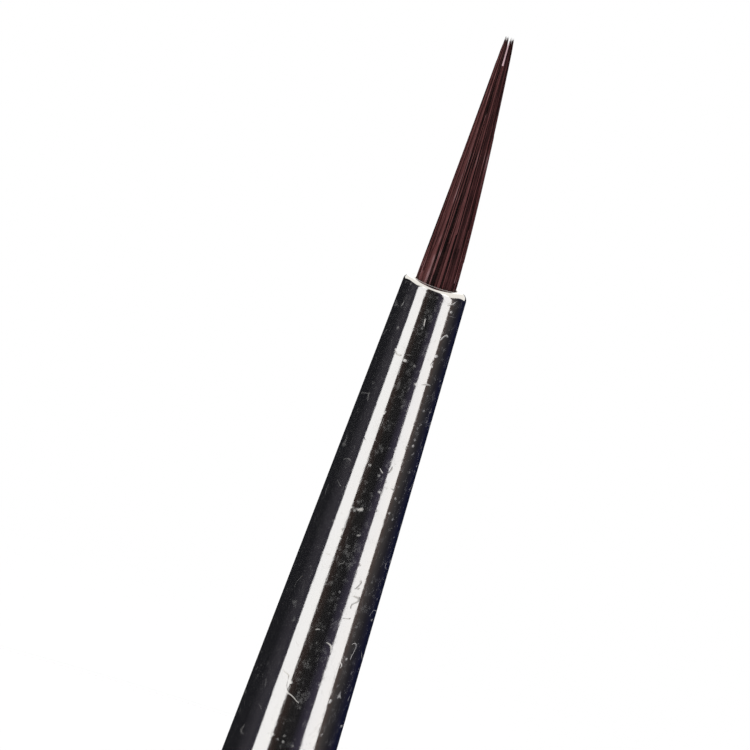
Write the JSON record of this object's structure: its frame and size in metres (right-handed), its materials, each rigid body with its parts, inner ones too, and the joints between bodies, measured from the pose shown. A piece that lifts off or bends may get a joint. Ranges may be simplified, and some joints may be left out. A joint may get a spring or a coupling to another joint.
{
  "type": "fine detail brush",
  "caption": "Slim round paintbrush with a pointed dark tuft, a polished conical ferrule and a turned wooden handle, for painting small details.",
  "frame": {"origin": "centre of the rounded tail end, on the brush's axis", "axes": "+Z along the brush's axis from the tail to the tip, +Y the line that the tuft bends about"},
  "size_m": [0.0066, 0.0066, 0.1849],
  "materials": {
    "birch": "bare turned birch, fine straight grain",
    "clear_lacquer": "clear gloss lacquer over pale birch",
    "dipped_lacquer": "dark red-brown gloss lacquer, dipped",
    "epoxy": "amber set resin",
    "nickel_plate": "mirror-polished nickel plate with fine scratches and dust",
    "thread": "waxed polyester binding thread",
    "filament": "dark red-brown tapered synthetic hair, lightly sized"
  },
  "bodies": {
    "brush": {"handle": "birch", "handle_lacquer": "clear_lacquer", "tail_dip": "dipped_lacquer", "tenon_glue": "epoxy", "ferrule": "nickel_plate", "root_glue": "epoxy", "binding_thread": "thread", "root_core": "filament", "root_hairs_6": "filament", "root_hairs_7": "filament"},
    "tuft": {"tuft_core": "filament", "tuft_hairs_6": "filament", "tuft_hairs_7": "filament", "tip_hairs": "filament"}
  },
  "joints": [
    {"name": "tuft_bend", "type": "hinge", "parent": "brush", "child": "tuft", "pos_m": [0, 0, 0.17895], "axis": [0, 1, 0], "range_deg": [-40, 40], "stiffness_Nm_per_rad": 0.00004}
  ]
}
